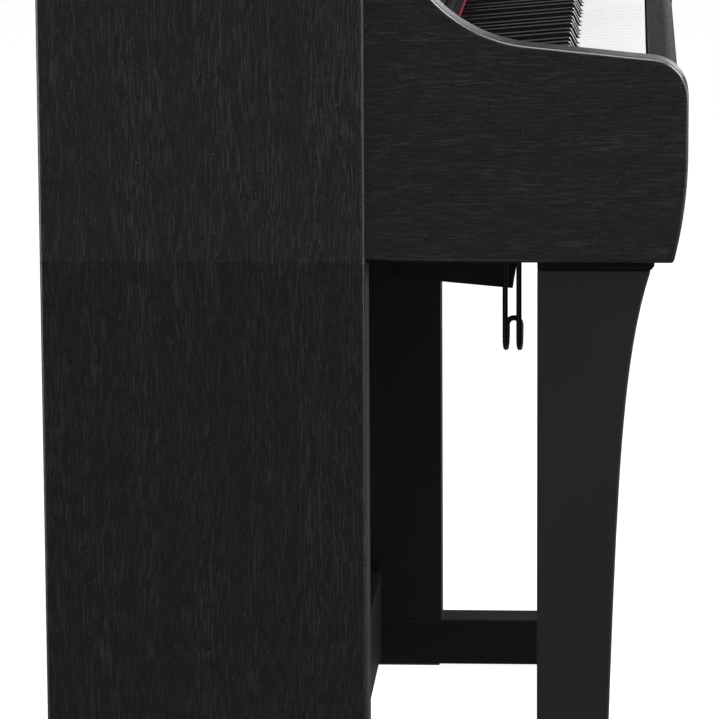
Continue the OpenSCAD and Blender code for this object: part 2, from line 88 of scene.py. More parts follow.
class Nodes:
    """A small helper that builds one material's node tree."""

    def __init__(self, name, roughness=0.5, **sockets):
        self.material = bpy.data.materials.new(name)
        self.material.use_nodes = True
        self.tree = self.material.node_tree
        self.bsdf = self.tree.nodes["Principled BSDF"]
        self.bsdf.inputs["Roughness"].default_value = roughness
        for key, value in sockets.items():
            self.bsdf.inputs[key.replace("_", " ")].default_value = value

    def add(self, kind, **settings):
        node = self.tree.nodes.new("ShaderNode" + kind)
        for key, value in settings.items():
            setattr(node, key, value)
        return node

    def link(self, source, target):
        self.tree.links.new(source, target)

    def place(self, scale):
        """The piece's own coordinates in metres, scaled."""
        coords = self.add("TexCoord")
        mapping = self.add("Mapping")
        mapping.inputs["Scale"].default_value = scale
        self.link(coords.outputs["Object"], mapping.inputs["Vector"])
        return mapping.outputs["Vector"]

    def noise(self, vector, scale=1.0, detail=2.0, roughness=0.5):
        node = self.add("TexNoise")
        node.inputs["Scale"].default_value = scale
        node.inputs["Detail"].default_value = detail
        node.inputs["Roughness"].default_value = roughness
        self.link(vector, node.inputs["Vector"])
        return node.outputs["Fac"]

    def ramp(self, value, *stops):
        """Maps a value through (position, colour) stops; a colour may be one number."""
        node = self.add("ValToRGB")
        elements = node.color_ramp.elements
        while len(elements) < len(stops):
            elements.new(0.5)
        for element, (position, colour) in zip(elements, stops):
            element.position = position
            element.color = colour if isinstance(colour, tuple) else (colour, colour, colour, 1)
        self.link(value, node.inputs["Fac"])
        return node.outputs["Color"]

    def math(self, operation, a, b):
        node = self.add("Math", operation=operation)
        for socket, value in zip(node.inputs, (a, b)):
            if isinstance(value, (int, float)):
                socket.default_value = value
            else:
                self.link(value, socket)
        return node.outputs["Value"]

    def mix(self, factor, a, b, blend="MIX"):
        node = self.add("Mix", data_type="RGBA", blend_type=blend)
        for socket, value in ((node.inputs[0], factor), (node.inputs[6], a), (node.inputs[7], b)):
            if isinstance(value, (int, float, tuple)):
                socket.default_value = value
            else:
                self.link(value, socket)
        return node.outputs[2]

    def span(self, value, low, high):
        """0 where the value is at or under low, 1 at or over high, and straight between them."""
        node = self.add("MapRange")
        node.inputs["From Min"].default_value = low
        node.inputs["From Max"].default_value = high
        self.link(value, node.inputs["Value"])
        return node.outputs["Result"]

    def shift(self, vector, amount):
        """Adds a vector or colour to a vector."""
        node = self.add("VectorMath", operation="ADD")
        self.link(vector, node.inputs[0])
        self.link(amount, node.inputs[1])
        return node.outputs["Vector"]

    def bump(self, height, strength, distance):
        node = self.add("Bump")
        node.inputs["Strength"].default_value = strength
        node.inputs["Distance"].default_value = distance
        self.link(height, node.inputs["Height"])
        self.link(node.outputs["Normal"], self.bsdf.inputs["Normal"])

    def colour(self, source):
        self.link(source, self.bsdf.inputs["Base Color"])

    def rough(self, source):
        self.link(source, self.bsdf.inputs["Roughness"])


def scaled(colour, by):
    """A colour made lighter or darker."""
    return tuple(min(1, c * by) for c in colour[:3]) + (1,)


def open_pore(name, along, dark, light, strength=0.35, gloss=0.4, specular=0.4,
              face=None, rim=0.0, inner=None):
    """Black stained wood grain: thin streaks that run along X, Y or Z, dark pores and a few pale specks that
    are painted highlights, glints off the grain.

    Where a board's outer face lies at X = face, on either side, its edges and its rounded rim have a
    smoother lacquer, and the upper part of the rim is polished. Nearer the middle of the piano than
    X = inner, the board is plain black without grain, darkened as painted shade for the shadow inside the case.
    """
    n = Nodes(name, gloss, Specular_IOR_Level=specular)
    metres = n.place((1, 1, 1))
    sway = n.math("MULTIPLY", n.math("SUBTRACT", n.noise(metres, 7, 2), 0.5), GRAIN_SWAY)
    wander = n.add("CombineXYZ")
    for axis in "XYZ":
        if axis != along:
            n.link(sway, wander.inputs[axis])
    bent = n.shift(metres, wander.outputs["Vector"])

    def streaks(width, length, *stops):
        """Noise drawn out along the grain: streaks of about this width and length in millimetres."""
        scale = [1000 / width] * 3
        scale["XYZ".index(along)] = 1000 / length
        stretch = n.add("Mapping")
        stretch.inputs["Scale"].default_value = scale
        n.link(bent, stretch.inputs["Vector"])
        return n.ramp(n.noise(stretch.outputs["Vector"], 1.0, 2.0, 0.55), *stops)

    bands = streaks(14, 260, (0.35, 0.3), (0.65, 1.0))
    ridges = n.mix(1.0, streaks(1.2, 20, (0.5, 0.0), (0.64, 1.0)), bands, "MULTIPLY")
    pores = streaks(0.9, 12, (0.58, 0.0), (0.68, 1.0))
    dashes = streaks(1.0, 6, (0.58, 0.0), (0.7, 1.0))
    # painted highlight: sparse pale specks stand in for glints off the grain's relief
    painted_glints = streaks(0.9, 2.0, (0.68, 0.0), (0.74, 1.0))
    tone = n.mix(n.math("MAXIMUM", ridges, n.math("MULTIPLY", dashes, 0.7)), dark, light)
    tone = n.mix(pores, tone, scaled(dark, 0.4))
    tone = n.mix(painted_glints, tone, scaled(light, 3))
    rough = n.ramp(ridges, (0.0, gloss), (1.0, gloss + 0.1))
    height = n.math("SUBTRACT", ridges, pores)

    split = n.add("SeparateXYZ")
    n.link(metres, split.inputs[0])
    side = n.math("ABSOLUTE", split.outputs["X"], 0)
    if inner:
        shown = n.span(side, inner, inner + 1 * MM)
        # painted shade: inside the case the board is plain black without grain, made darker than the foil for
        # the shadow there
        tone = n.mix(shown, INNER_SHADE_BLACK, tone)
        height = n.math("MULTIPLY", height, shown)
    if face:
        flat = n.span(side, face - 0.5 * MM, face - 0.1 * MM)
        rough = n.mix(flat, EDGE_ROUGHNESS, rough)
        height = n.math("MULTIPLY", height, flat)
    if rim:
        on_rim = n.span(side, face - rim, face - 0.9 * rim)
        off_face = n.span(side, face - 0.05 * MM, face - 0.3 * MM)
        high_up = n.span(split.outputs["Z"], *POLISHED_ABOVE)
        polish = n.math("MULTIPLY", n.math("MULTIPLY", on_rim, high_up), off_face)
        n.bsdf.inputs["Coat Roughness"].default_value = 0.24
        n.bsdf.inputs["Coat IOR"].default_value = 1.6
        n.link(polish, n.bsdf.inputs["Coat Weight"])
    n.colour(tone)
    n.rough(rough)
    n.bump(height, strength, 0.2 * MM)
    return n.material


def satin(name, colour, roughness=0.4, specular=0.3, speckle=0.15):
    """Sprayed satin lacquer with a faint orange peel."""
    n = Nodes(name, roughness, Specular_IOR_Level=specular)
    peel = n.noise(n.place((1, 1, 1)), 900, 2)
    cloud = n.noise(n.place((1, 1, 1)), 7, 3)
    n.colour(n.mix(cloud, colour, scaled(colour, 1.25)))
    n.rough(n.ramp(cloud, (0.3, roughness - 0.04), (0.7, roughness + 0.05)))
    n.bump(peel, speckle, 0.05 * MM)
    return n.material


def moulded(name, colour, roughness=0.45, grain=1600, strength=0.3, specular=0.4):
    """Fine-textured moulded plastic or powder coat."""
    n = Nodes(name, roughness, Specular_IOR_Level=specular)
    texture = n.noise(n.place((1, 1, 1)), grain, 2, 0.6)
    cloud = n.noise(n.place((1, 1, 1)), 40, 3)
    n.colour(n.mix(cloud, colour, scaled(colour, 1.3)))
    n.rough(n.ramp(texture, (0.3, roughness - 0.06), (0.7, roughness + 0.06)))
    n.bump(texture, strength, 0.08 * MM)
    return n.material


def metal(name, colour, roughness, brushed=(1, 1, 1)):
    """Bare metal, brushed along the axis with the smallest scale."""
    n = Nodes(name, roughness, Metallic=1.0)
    marks = n.noise(n.place(tuple(700 * b for b in brushed)), 1.0, 3)
    n.colour(n.mix(marks, scaled(colour, 0.82), colour))
    n.rough(n.ramp(marks, (0.3, roughness - 0.07), (0.7, roughness + 0.07)))
    n.bump(marks, 0.1, 0.04 * MM)
    return n.material


def white_key_material():
    """Ivory-touch resin: matt on top, with a faint streak along the key."""
    n = Nodes("ivory_white", 0.32, Specular_IOR_Level=0.45)
    streak = n.noise(n.place((500, 25, 500)), 1.0, 3)
    n.colour(n.mix(streak, rgb(230, 228, 228), rgb(238, 236, 236)))
    n.rough(n.ramp(streak, (0.3, 0.28), (0.7, 0.4)))
    n.bump(streak, 0.08, 0.05 * MM)
    return n.material


def felt_material(name, dark, light, pitch=None):
    """Pressed wool felt: cloudy and fuzzy. With a pitch along X, painted shade darkens it in the dips of a
    bulging roll.
    """
    n = Nodes(name, 0.95, Specular_IOR_Level=0.08, Sheen_Weight=0.05, Sheen_Roughness=0.6)
    fuzz = n.noise(n.place((1, 1, 1)), 2600, 4, 0.7)
    clumps = n.noise(n.place((1, 1, 1)), 420, 3)
    tone = n.mix(n.mix(0.5, fuzz, clumps), dark, light)
    if pitch:
        split = n.add("SeparateXYZ")
        n.link(n.place((math.pi / pitch, 1, 1)), split.inputs[0])
        wave = n.math("ABSOLUTE", n.math("SINE", split.outputs["X"], 0), 0)
        # painted shade: near black in the dips between the bulges
        tone = n.mix(n.span(wave, 0.1, 0.75), scaled(dark, 0.12), tone)
    n.colour(tone)
    n.bump(fuzz, 0.7, 0.4 * MM)
    return n.material


def hardboard_material():
    """Black-faced hardboard: a felted, slightly mottled sheet."""
    n = Nodes("hardboard", 0.75, Specular_IOR_Level=0.2)
    fibre = n.noise(n.place((260, 260, 90)), 1.0, 5, 0.7)
    n.colour(n.mix(fibre, rgb(24, 24, 24), rgb(46, 44, 42)))
    n.bump(fibre, 0.4, 0.2 * MM)
    return n.material


# Grain: how far the streaks wander, the inner faces' black, darkened as painted shade, and the lacquer of a
# board's edges and of the arm's polished rim.
GRAIN_SWAY = 18 * MM
INNER_SHADE_BLACK = rgb(6, 6, 6)
EDGE_ROUGHNESS = (0.33, 0.33, 0.33, 1)
POLISHED_ABOVE = (726 * MM, 740 * MM)

# Distances from the middle of the piano: the outer and inner faces of the boards at its ends.
OUTER_FACE = cad_high.x
ARM_FACE = OUTER_FACE - 3 * MM
ARM_RIM = 2.6 * MM
UPPER_INNER = OUTER_FACE - 35 * MM
STAND_INNER = OUTER_FACE - 47 * MM

# The felt bulges once for each semitone: 7 white keys to 12 semitones.
WHITE_KEYS = 52
FELT_LOW, FELT_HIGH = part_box("felt_strip")
FELT_PITCH = (FELT_HIGH.x - FELT_LOW.x) * 7 / 12 / WHITE_KEYS

MATERIALS = {
    "case_grain": open_pore("case_grain", "Z", rgb(21, 21, 21), rgb(43, 43, 43),
                            face=OUTER_FACE, inner=UPPER_INNER),
    # stand_grain: the case grain made darker, painted shade for the light falling off towards the floor
    "stand_grain": open_pore("stand_grain", "Z", rgb(15, 15, 15), rgb(34, 34, 34),
                             face=OUTER_FACE, inner=STAND_INNER),
    "arm_grain": open_pore("arm_grain", "Y", rgb(22, 20, 21), rgb(38, 35, 36),
                           face=ARM_FACE, rim=ARM_RIM, inner=UPPER_INNER),
    "long_grain": open_pore("long_grain", "X", rgb(5, 4, 5), rgb(38, 34, 35), 0.8, gloss=0.5, specular=0.14),
    "leg_paint": satin("leg_paint", rgb(26, 23, 24), 0.5, 0.3),
    # rail_paint: the leg paint made darker, painted shade for the shadow under the keyboard
    "rail_paint": satin("rail_paint", rgb(8, 7, 8), 0.6, 0.15),
    "panel_black": satin("panel_black", rgb(20, 19, 20), 0.42, 0.3),
    "board_raw": satin("board_raw", rgb(22, 21, 21), 0.7, 0.2, 0.4),
    "back_hardboard": hardboard_material(),
    "white_key": white_key_material(),
    "black_key": moulded("black_key", rgb(10, 10, 10), 0.24, 1200, 0.06, 0.5),
    "crimson_felt": felt_material("crimson_felt", rgb(62, 6, 20), rgb(160, 26, 62), FELT_PITCH),
    "chassis_steel": metal("chassis_steel", rgb(150, 150, 152), 0.42, (0.05, 1, 1)),
    "black_steel": moulded("black_steel", rgb(6, 6, 6), 0.65, 1800, 0.3, 0.15),
    "hanger_wire": moulded("hanger_wire", rgb(8, 8, 8), 0.3, 300, 0.08, 0.5),
    "pedal_brass": metal("pedal_brass", rgb(226, 186, 108), 0.26, (1, 0.05, 1)),
    "bright_steel": metal("bright_steel", rgb(190, 190, 192), 0.25, (0.05, 1, 1)),
    "hinge_steel": metal("hinge_steel", rgb(168, 168, 170), 0.3, (0.05, 1, 1)),
    "screw_steel": metal("screw_steel", rgb(88, 88, 90), 0.4),
    "glide_felt": felt_material("glide_felt", rgb(26, 26, 26), rgb(58, 58, 58)),
    "hammer_weight": moulded("hammer_weight", rgb(70, 70, 74), 0.5),
    "black_plastic": moulded("black_plastic", rgb(6, 6, 6), 0.4, 1500, 0.3, 0.3),
    "display_gloss": moulded("display_gloss", rgb(3, 3, 4), 0.06, 5, 0.0, 0.5),
    "key_marks": moulded("key_marks", rgb(190, 190, 186), 0.4, 900, 0.1, 0.3),
    "board_green": moulded("board_green", rgb(18, 74, 42), 0.4),
    "speaker_cone": moulded("speaker_cone", rgb(20, 20, 20), 0.7, 500, 0.4, 0.2),
}

# ---------------------------------------------------------------- carried-over CAD nodes


SHARP_EDGE = math.radians(30)


def geometry_group(name):
    """A modifier group with its input and output, not joined yet."""
    group = bpy.data.node_groups.new(name, "GeometryNodeTree")
    for way in ("INPUT", "OUTPUT"):
        group.interface.new_socket("Geometry", in_out=way, socket_type="NodeSocketGeometry")
    return group, group.nodes.new("NodeGroupInput"), group.nodes.new("NodeGroupOutput")


def smooth_group(name, keep_sharp):
    """A modifier group that shades every face smooth. With keep_sharp, sharp edges stay so.

    Without it, the weighted normals of a softened piece round the edges.
    """
    group, start, end = geometry_group(name)
    last = group.nodes.new("GeometryNodeSetShadeSmooth")
    group.links.new(start.outputs[0], last.inputs["Geometry"])
    if keep_sharp:
        angle = group.nodes.new("GeometryNodeInputMeshEdgeAngle")
        sharp = group.nodes.new("ShaderNodeMath")
        sharp.operation = "GREATER_THAN"
        sharp.inputs[1].default_value = SHARP_EDGE
        edges = group.nodes.new("GeometryNodeSetShadeSmooth")
        edges.domain = "EDGE"
        edges.inputs["Shade Smooth"].default_value = False
        group.links.new(angle.outputs["Unsigned Angle"], sharp.inputs[0])
        group.links.new(sharp.outputs[0], edges.inputs["Selection"])
        group.links.new(last.outputs["Geometry"], edges.inputs["Geometry"])
        last = edges
    group.links.new(last.outputs["Geometry"], end.inputs[0])
    return group


def weight_group(rest, where):
    """A modifier group that gives sharp edges a bevel weight: 1 where the rule says, and rest elsewhere.

    board: long upright edges by the outer face. arm: edges of the outer face, but none by the side panel.
    key: all but the steep ones.
    """
    by_face, upright, by_panel, steep = 4 * MM, 100 * MM, -3 * MM, 3 * MM
    group, start, end = geometry_group("edge_weights_" + where)

    def add(kind, **settings):
        node = group.nodes.new(kind)
        for key, value in settings.items():
            setattr(node, key, value)
        return node

    def maths(operation, a, b):
        node = add("ShaderNodeMath", operation=operation)
        for socket, value in zip(node.inputs, (a, b)):
            if isinstance(value, (int, float)):
                socket.default_value = value
            else:
                group.links.new(value, socket)
        return node.outputs[0]

    angle, ends = add("GeometryNodeInputMeshEdgeAngle"), add("GeometryNodeInputMeshEdgeVertices")
    a, b = add("ShaderNodeSeparateXYZ"), add("ShaderNodeSeparateXYZ")
    group.links.new(ends.outputs["Position 1"], a.inputs[0])
    group.links.new(ends.outputs["Position 2"], b.inputs[0])
    sharp = maths("GREATER_THAN", angle.outputs["Unsigned Angle"], SHARP_EDGE)
    outer = maths("GREATER_THAN", maths("ABSOLUTE", a.outputs["X"], 0), OUTER_FACE - by_face)
    rise = maths("ABSOLUTE", maths("SUBTRACT", a.outputs["Z"], b.outputs["Z"]), 0)
    if where == "board":
        chosen = maths("MULTIPLY", outer, maths("GREATER_THAN", rise, upright))
    elif where == "arm":
        chosen = outer
        nearest = maths("MINIMUM", a.outputs["Y"], b.outputs["Y"])
        sharp = maths("MULTIPLY", sharp, maths("LESS_THAN", nearest, by_panel))
    else:
        chosen = maths("LESS_THAN", rise, steep)
    weight = maths("MULTIPLY", sharp, maths("MAXIMUM", chosen, rest))
    store = add("GeometryNodeStoreNamedAttribute", data_type="FLOAT", domain="EDGE")
    store.inputs["Name"].default_value = "bevel_weight_edge"
    group.links.new(start.outputs[0], store.inputs["Geometry"])
    group.links.new(weight, store.inputs["Value"])
    group.links.new(store.outputs[0], end.inputs[0])
    return group


SMOOTH = smooth_group("shade_all_smooth", keep_sharp=False)
BY_ANGLE = smooth_group("shade_by_angle", keep_sharp=True)


def weld(obj):
    """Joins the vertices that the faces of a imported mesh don't share."""
    obj.modifiers.new("weld", "WELD").merge_threshold = 0.004 * MM


def soften(name, width, segments=3, angle=30, where=None, rest=0.0):
    """Rounds a CAD node's hard edges with modifiers: its mesh stays as packed.

    The width is in millimetres and the angle in degrees. With a rule from weight_group in where, the
    edges are chosen by their weight and not by the angle.
    """
    obj = nodes[name]
    weld(obj)
    planar = obj.modifiers.new("planar", "DECIMATE")
    planar.decimate_type = "DISSOLVE"
    planar.angle_limit = math.radians(0.4)
    if where:
        obj.modifiers.new("weights", "NODES").node_group = weight_group(rest, where)
    bevel = obj.modifiers.new("bevel", "BEVEL")
    bevel.width = width * MM
    bevel.segments = segments
    bevel.limit_method = "WEIGHT" if where else "ANGLE"
    bevel.angle_limit = math.radians(angle)
    bevel.use_clamp_overlap = where not in ("board", "arm")
    obj.modifiers.new("smooth", "NODES").node_group = SMOOTH
    normals = obj.modifiers.new("normals", "WEIGHTED_NORMAL")
    normals.keep_sharp = True
    normals.weight = 80


DULL_BLACK = satin("dull_black", rgb(16, 15, 16), 0.7, 0.03)
slot_of = {part["node"]: part["material_slot"] for part in frame["record"]["subparts"]}
for name, obj in nodes.items():
    material = DULL_BLACK if name in ("fascia", "key_cover") else MATERIALS[slot_of[name]]
    obj.data.materials.clear()
    obj.data.materials.append(material)

for name in ("side_board_left", "side_board_right", "upper_side_left", "upper_side_right"):
    soften(name, 3.5, 5, where="board", rest=0.08)
for name in ("arm_left", "arm_right"):
    soften(name, ARM_RIM / MM, 5, where="arm", rest=0.35)
for name in ("front_leg_left", "front_leg_right", "foot_rail_left", "foot_rail_right"):
    soften(name, 2.0, 3, 25)
for name in ("top_board", "key_slip", "fascia", "back_board", "pedal_beam", "keybed", "music_desk"):
    soften(name, 1.2, 3, 25)
for name in ("key_block_left", "key_block_right", "jack_box", "leg_plates", "rear_cover", "rear_sockets"):
    soften(name, 0.6, 2, 25)
for name in ("key_cover", "volume_knob", "power_button", "glides", "display_window", "pedal_chassis"):
    soften(name, 0.5, 2, 25)
for name in nodes:
    if slot_of[name] == "black_key":
        soften(name, 1.0, where="key", rest=0.03)
    elif slot_of[name] == "white_key":
        soften(name, 0.7, 3, 20)
for name in ("headphone_hanger", "woofers", "pedal_shaft", "beam_adjuster", "desk_hinges",
             "hammers", "circuit_boards", "key_frame", "rear_screws"):
    weld(nodes[name])
    nodes[name].modifiers.new("smooth", "NODES").node_group = BY_ANGLE

# ---------------------------------------------------------------- new pieces

SMOOTH_UNDER = math.radians(32)

# Places in millimetres: the pedals across the piano, the shaft they turn on (Y, Z) and their springs (Y).
PEDALS = (("soft_pedal", -80), ("sostenuto_pedal", 0), ("damper_pedal", 80))
PEDAL_SHAFT = (110, 58)
SPRING_Y = 128

# The display at the bass end and the controls at the treble end are as far from the middle.
CONTROLS_X = 629


def piece(name, bm, material, body="body", replaces=()):
    """Makes a mesh piece from a bmesh, shades it by angle and lets it ride on a CAD body."""
    bmesh.ops.recalc_face_normals(bm, faces=bm.faces)
    for edge in bm.edges:
        edge.smooth = len(edge.link_faces) == 2 and edge.calc_face_angle(0) < SMOOTH_UNDER
    for face in bm.faces:
        face.smooth = True
    mesh = bpy.data.meshes.new(name)
    bm.to_mesh(mesh)
    bm.free()
    obj = bpy.data.objects.new(name, mesh)
    scene.collection.objects.link(obj)
    mesh.materials.append(MATERIALS[material])
    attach(obj, body)
    if replaces:
        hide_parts(*replaces)
    return obj


def rings(bm, loops, closed=False):
    """Joins loops of points with quads, and caps both ends unless closed makes the last meet the first."""
    made = [[bm.verts.new(p) for p in loop] for loop in loops]
    pairs = list(zip(made, made[1:])) + ([(made[-1], made[0])] if closed else [])
    for one, two in pairs:
        for i, vert in enumerate(one):
            j = (i + 1) % len(one)
            bm.faces.new((vert, one[j], two[j], two[i]))
    if not closed:
        bm.faces.new(made[0][::-1])
        bm.faces.new(made[-1])


def turns(count):
    """The angles of so many points spread evenly round a circle."""
    return [2 * math.pi * k / count for k in range(count)]


def squarish(value, power):
    """A sine or cosine pushed outwards, which turns a circle into a rounded square."""
    return math.copysign(abs(value) ** power, value)


def lathe(bm, profile, matrix, sides=32, closed=False):
    """Turns (radius, height) points about Z in millimetres. A third value of 6 makes that ring a hexagon."""
    loops = []
    for radius, height, *shape in profile:
        loop = []
        for turn in turns(sides):
            r = radius
            if shape:
                part = 2 * math.pi / shape[0]
                r *= math.cos(part / 2) / math.cos(turn % part - part / 2)
            loop.append(matrix @ Vector((r * MM * math.cos(turn), r * MM * math.sin(turn), height * MM)))
        loops.append(loop)
    rings(bm, loops, closed)


def block(bm, low, high, round_by, matrix=Matrix.Identity(4), segments=3):
    """A box from low to high in millimetres, with rounded edges."""
    made = bmesh.ops.create_cube(bm, size=1)["verts"]
    size = [(h - l) * MM for l, h in zip(low, high)]
    middle = Vector([(h + l) / 2 * MM for l, h in zip(low, high)])
    bmesh.ops.transform(bm, matrix=Matrix.Translation(middle) @ Matrix.Diagonal((*size, 1)), verts=made)
    edges = list({e for v in made for e in v.link_edges})
    out = bmesh.ops.bevel(bm, geom=edges, offset=round_by * MM, segments=segments,
                          profile=0.5, affect="EDGES")
    made = list({v for f in out["faces"] for v in f.verts})
    bmesh.ops.transform(bm, matrix=matrix, verts=made)


def at(x, y, z, turn=0, axis="X"):
    """A place in millimetres with a turn in degrees about one axis."""
    return Matrix.Translation(Vector((x, y, z)) * MM) @ Matrix.Rotation(math.radians(turn), 4, axis)


SCREW_HEAD = [(0.2, 0.0), (3.4, 0.0), (3.4, 0.5), (2.9, 1.2), (1.9, 1.6),
              (1.6, 1.6, 6), (1.6, 0.5, 6), (0.2, 0.4)]

# Where small parts are placed from: the hanger's plate, the foot of the open desk, the cover's front edge.
HANGER_PLATE = at(-630, -106, 612, -2.5, "Z")
DESK_FOOT = at(0, 44, 917, 70)
COVER_EDGE = at(0, -49, 768.2, 6.06)


def screws(name, places):
    """Pan-head screws with a hexagonal socket, one at each place, facing its Z."""
    bm = bmesh.new()
    for place in places:
        lathe(bm, SCREW_HEAD, place, 24)
    piece(name, bm, "screw_steel")


def felt_bead():
    """The felt behind the keys: a soft roll that bulges once for each key."""
    low, high = FELT_LOW / MM, FELT_HIGH / MM
    middle, half = (low + high) / 2, (high - low) / 2
    steps, sides, hair = 1700, 12, 0.09
    fuzz = [random.uniform(-hair, hair) for _ in range((steps + 1) * sides)]
    loops = []
    for i in range(steps + 1):
        x = low.x + (high.x - low.x) * i / steps
        bulge = abs(math.sin(math.pi * x * MM / FELT_PITCH)) ** 0.6
        loop = []
        for j, turn in enumerate(turns(sides)):
            tuft = fuzz[i * sides + j]
            y = squarish(math.cos(turn), 0.6) * (0.45 + 0.5 * bulge) + tuft
            z = squarish(math.sin(turn), 0.6) * (0.5 + 0.45 * bulge) + tuft
            y = middle.y + max(-1, min(1, y)) * half.y
            z = middle.z + max(-1, min(1, z)) * half.z
            loop.append(Vector((x, y, z)) * MM)
        loops.append(loop)
    bm = bmesh.new()
    rings(bm, loops)
    piece("felt_bead", bm, "crimson_felt", replaces=("felt_strip",))


def speaker_covers():
    """Two steel grilles with hexagonal holes, in a rolled rim."""
    pitch, web, reach, under, over = 6.0, 1.1, 55.5, -2.9, -2.3
    row_pitch = pitch * 0.866
    rows, columns = int(reach / row_pitch) + 1, 12
    corners = [math.radians(60 * k + 30) for k in range(6)]
    section = ((pitch / 2, under), (pitch / 2, over), (pitch / 2 - web, over), (pitch / 2 - web, under))
    rim = [(53, -3.2), (61, -3.2), (63.5, -1.6), (66, 0), (60, 0), (58.5, -1.6), (57, -2), (53, -2)]
    bm = bmesh.new()
    for x in (-330, 330):
        place = at(x, 130, 615)
        lathe(bm, rim, place, 64, True)
        for row in range(-rows, rows + 1):
            for column in range(-columns, columns + 1):
                cx, cy = (column + row % 2 / 2) * pitch, row * row_pitch
                if math.hypot(cx, cy) > reach:
                    continue
                loops = []
                for apothem, z in section:
                    far = apothem / math.cos(math.radians(30))
                    loops.append([place @ (Vector((cx + far * math.cos(t), cy + far * math.sin(t), z)) * MM)
                                  for t in corners])
                rings(bm, loops, True)
    bmesh.ops.remove_doubles(bm, verts=bm.verts, dist=0.002 * MM)

    def level(edge):
        return abs(edge.verts[0].co.z - edge.verts[1].co.z) < 0.1 * MM

    shared = [face for face in bm.faces
              if all(len(edge.link_faces) > 2 for edge in face.edges if level(edge))]
    bmesh.ops.delete(bm, geom=shared, context="FACES_ONLY")
    piece("speaker_covers", bm, "black_steel", replaces=("speaker_grilles",))


def pedals():
    """Three cast pedals: a domed round toe, a waisted lever and a boss on the shaft."""
    toe, shank, thickness, taper = 16, 11, 7, 45
    steps, sides = 60, 24
    for name, x in PEDALS:
        low, high = (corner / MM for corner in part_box(name))
        toe_y = low.y + toe
        loops = []
        for k in range(steps + 1):
            y = low.y + (high.y - low.y) * (k / steps) ** 1.6
            if y < toe_y:
                half = math.sqrt(max(0.4, toe ** 2 - (y - toe_y) ** 2))
            else:
                t = min(1, (y - toe_y) / taper)
                half = toe + (shank - toe) * t * t * (3 - 2 * t)
            thin = thickness / 2 * min(1, 0.35 + 0.65 * math.sqrt(max(0, y - low.y) / 8))
            loop = []
            for turn in turns(sides):
                across = squarish(math.cos(turn), 0.55) * half
                up = squarish(math.sin(turn), 0.8) * thin
                loop.append(Vector((x + across, y, high.z - thickness / 2 + up)) * MM)
            loops.append(loop)
        bm = bmesh.new()
        rings(bm, loops)
        boss = [(4.05, -11), (7.4, -11), (8, -10.4), (8, 10.4), (7.4, 11), (4.05, 11)]
        lathe(bm, boss, at(x, *PEDAL_SHAFT, 90, "Y"), 40, True)
        piece(name + "_cast", bm, "pedal_brass", name, (name,))


def springs():
    """One coil over each pedal's rear arm."""
    low, high = (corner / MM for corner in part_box("pedal_springs"))
    wire, radius, coils, steps, flat = 0.8, 6.0, 4.5, 32, 0.7
    for name, x in PEDALS:
        loops = []
        for k in range(int(coils * steps) + 1):
            t = k / (coils * steps)
            rise = max(0.0, min(1.0, (t * coils - flat) / (coils - 2 * flat)))
            turn = 2 * math.pi * coils * t
            z = low.z + wire + (high.z - low.z - 2 * wire) * rise
            loop = []
            for a in turns(10):
                far = radius + wire * math.cos(a)
                loop.append(Vector((x + far * math.cos(turn), SPRING_Y + far * math.sin(turn),
                                    z + wire * math.sin(a))) * MM)
            loops.append(loop)
        bm = bmesh.new()
        rings(bm, loops)
        coil = piece(name + "_spring", bm, "bright_steel", replaces=("pedal_springs",))
        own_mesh(coil)


def jack_nuts():
    """The ring nuts of the two headphone jacks."""
    bm = bmesh.new()
    nut = [(3.4, 0.1), (6.4, 0.1), (6.4, 1.6), (5.6, 2.2), (4.4, 2.2), (4.4, 3.0), (3.4, 3.0)]
    for x in (-568, -532):
        lathe(bm, nut, at(x, -97, 600, 90), 36, True)
    piece("jack_nuts", bm, "bright_steel")


def cam_caps():
    """Plastic caps over the cam fasteners, on the inner faces of the side boards."""
    bm = bmesh.new()
    cap = [(0.3, 1.1), (4, 1.0), (6.6, 0.8), (7.4, 0.3), (7.5, 0.0), (0.3, 0.0)]
    back_board, beam = ((190, 120), (190, 340), (190, 560)), (75, 78)
    inner = OUTER_FACE / MM - 48
    for side in (-1, 1):
        for y, z in (*back_board, beam):
            lathe(bm, cap, at(side * inner, y, z, -90 * side, "Y"))
    piece("cam_caps", bm, "black_plastic")


def socket_contacts():
    """Blades of the mains inlet, pins of the pedal socket, tongue of the data port and ring of the line out."""
    height, inlet, pedal_socket, data_port, line_out = 680, -536, -486, -459.5, -442
    bm = bmesh.new()
    for x in (inlet - 6.5, inlet, inlet + 6.5):
        block(bm, (x - 0.8, 203, height - 2.5), (x + 0.8, 219, height + 2.5), 0.4)
    pin, pin_circle = [(0.1, 0), (0.7, 0), (0.7, 10), (0.4, 10.7), (0.1, 10.8)], 4.2
    for angle in (-60, -30, 0, 30, 60):
        t = math.radians(angle - 90)
        x, z = pedal_socket + pin_circle * math.cos(t), height + pin_circle * math.sin(t)
        lathe(bm, pin, at(x, 208, z, -90), 12)
    block(bm, (data_port - 3.5, 210, height - 0.8), (data_port + 3.5, 222, height + 1.4), 0.4)
    lathe(bm, [(2.3, 0), (3.1, 0), (3.1, 1.2), (2.3, 1.2)], at(line_out, 224, height, -90), 24, True)
    piece("socket_contacts", bm, "bright_steel")


